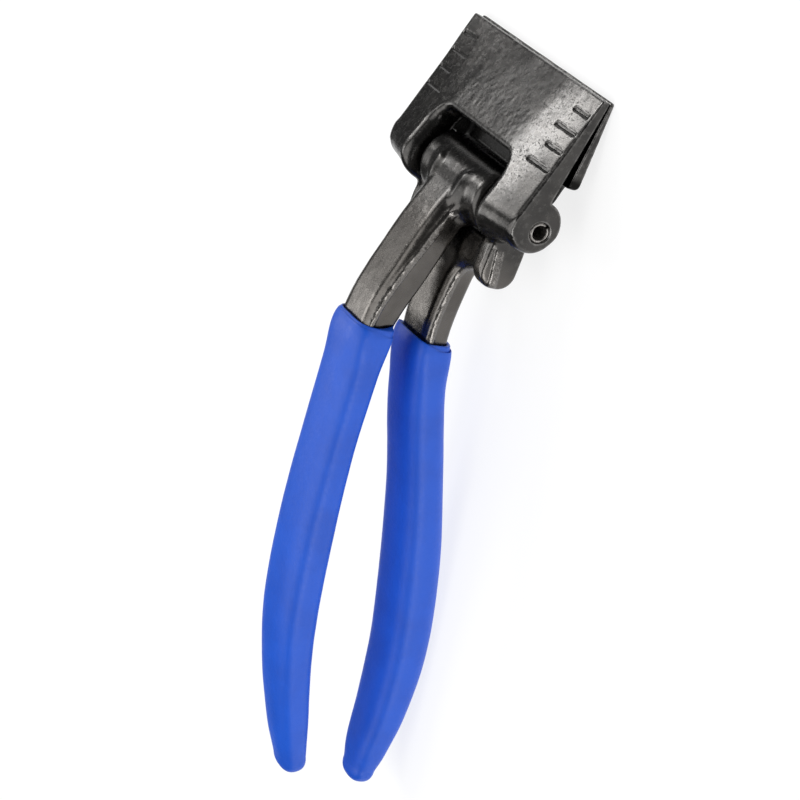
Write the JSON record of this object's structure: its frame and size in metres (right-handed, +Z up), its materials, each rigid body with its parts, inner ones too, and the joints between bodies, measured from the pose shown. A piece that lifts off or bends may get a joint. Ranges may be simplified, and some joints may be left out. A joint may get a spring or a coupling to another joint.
{
  "type": "hand seamer",
  "caption": "Hand seamer: two crossing forged levers with wide flat jaws on one spring pin, engraved depth marks and vinyl handle grips.",
  "frame": {"origin": "centre of the footprint, on the surface that the closed tool lies on with its lower grip and lower jaw tip", "axes": "+Y along the tool from the handles to the jaw tips, +X along the pivot pin to the tool's right side, +Z up from the surface to the upper jaw's side"},
  "size_m": [0.0826, 0.2454, 0.0564],
  "materials": {
    "black_forging": "oil-blackened forged steel, satin, with ground jaw sides",
    "pin_steel": "plain spring steel",
    "blue_vinyl": "dipped vinyl with a fine leathery grain"
  },
  "bodies": {
    "upper_jaw_lever": {"upper_jaw": "black_forging", "pivot_pin": "pin_steel", "lower_grip": "blue_vinyl"},
    "lower_jaw_lever": {"lower_jaw": "black_forging", "upper_grip": "blue_vinyl"}
  },
  "joints": [
    {"name": "jaw_pivot", "type": "hinge", "parent": "upper_jaw_lever", "child": "lower_jaw_lever", "pos_m": [0, 0.0821, 0.01512], "axis": [-1, 0, 0], "range_deg": [0, 36]}
  ]
}
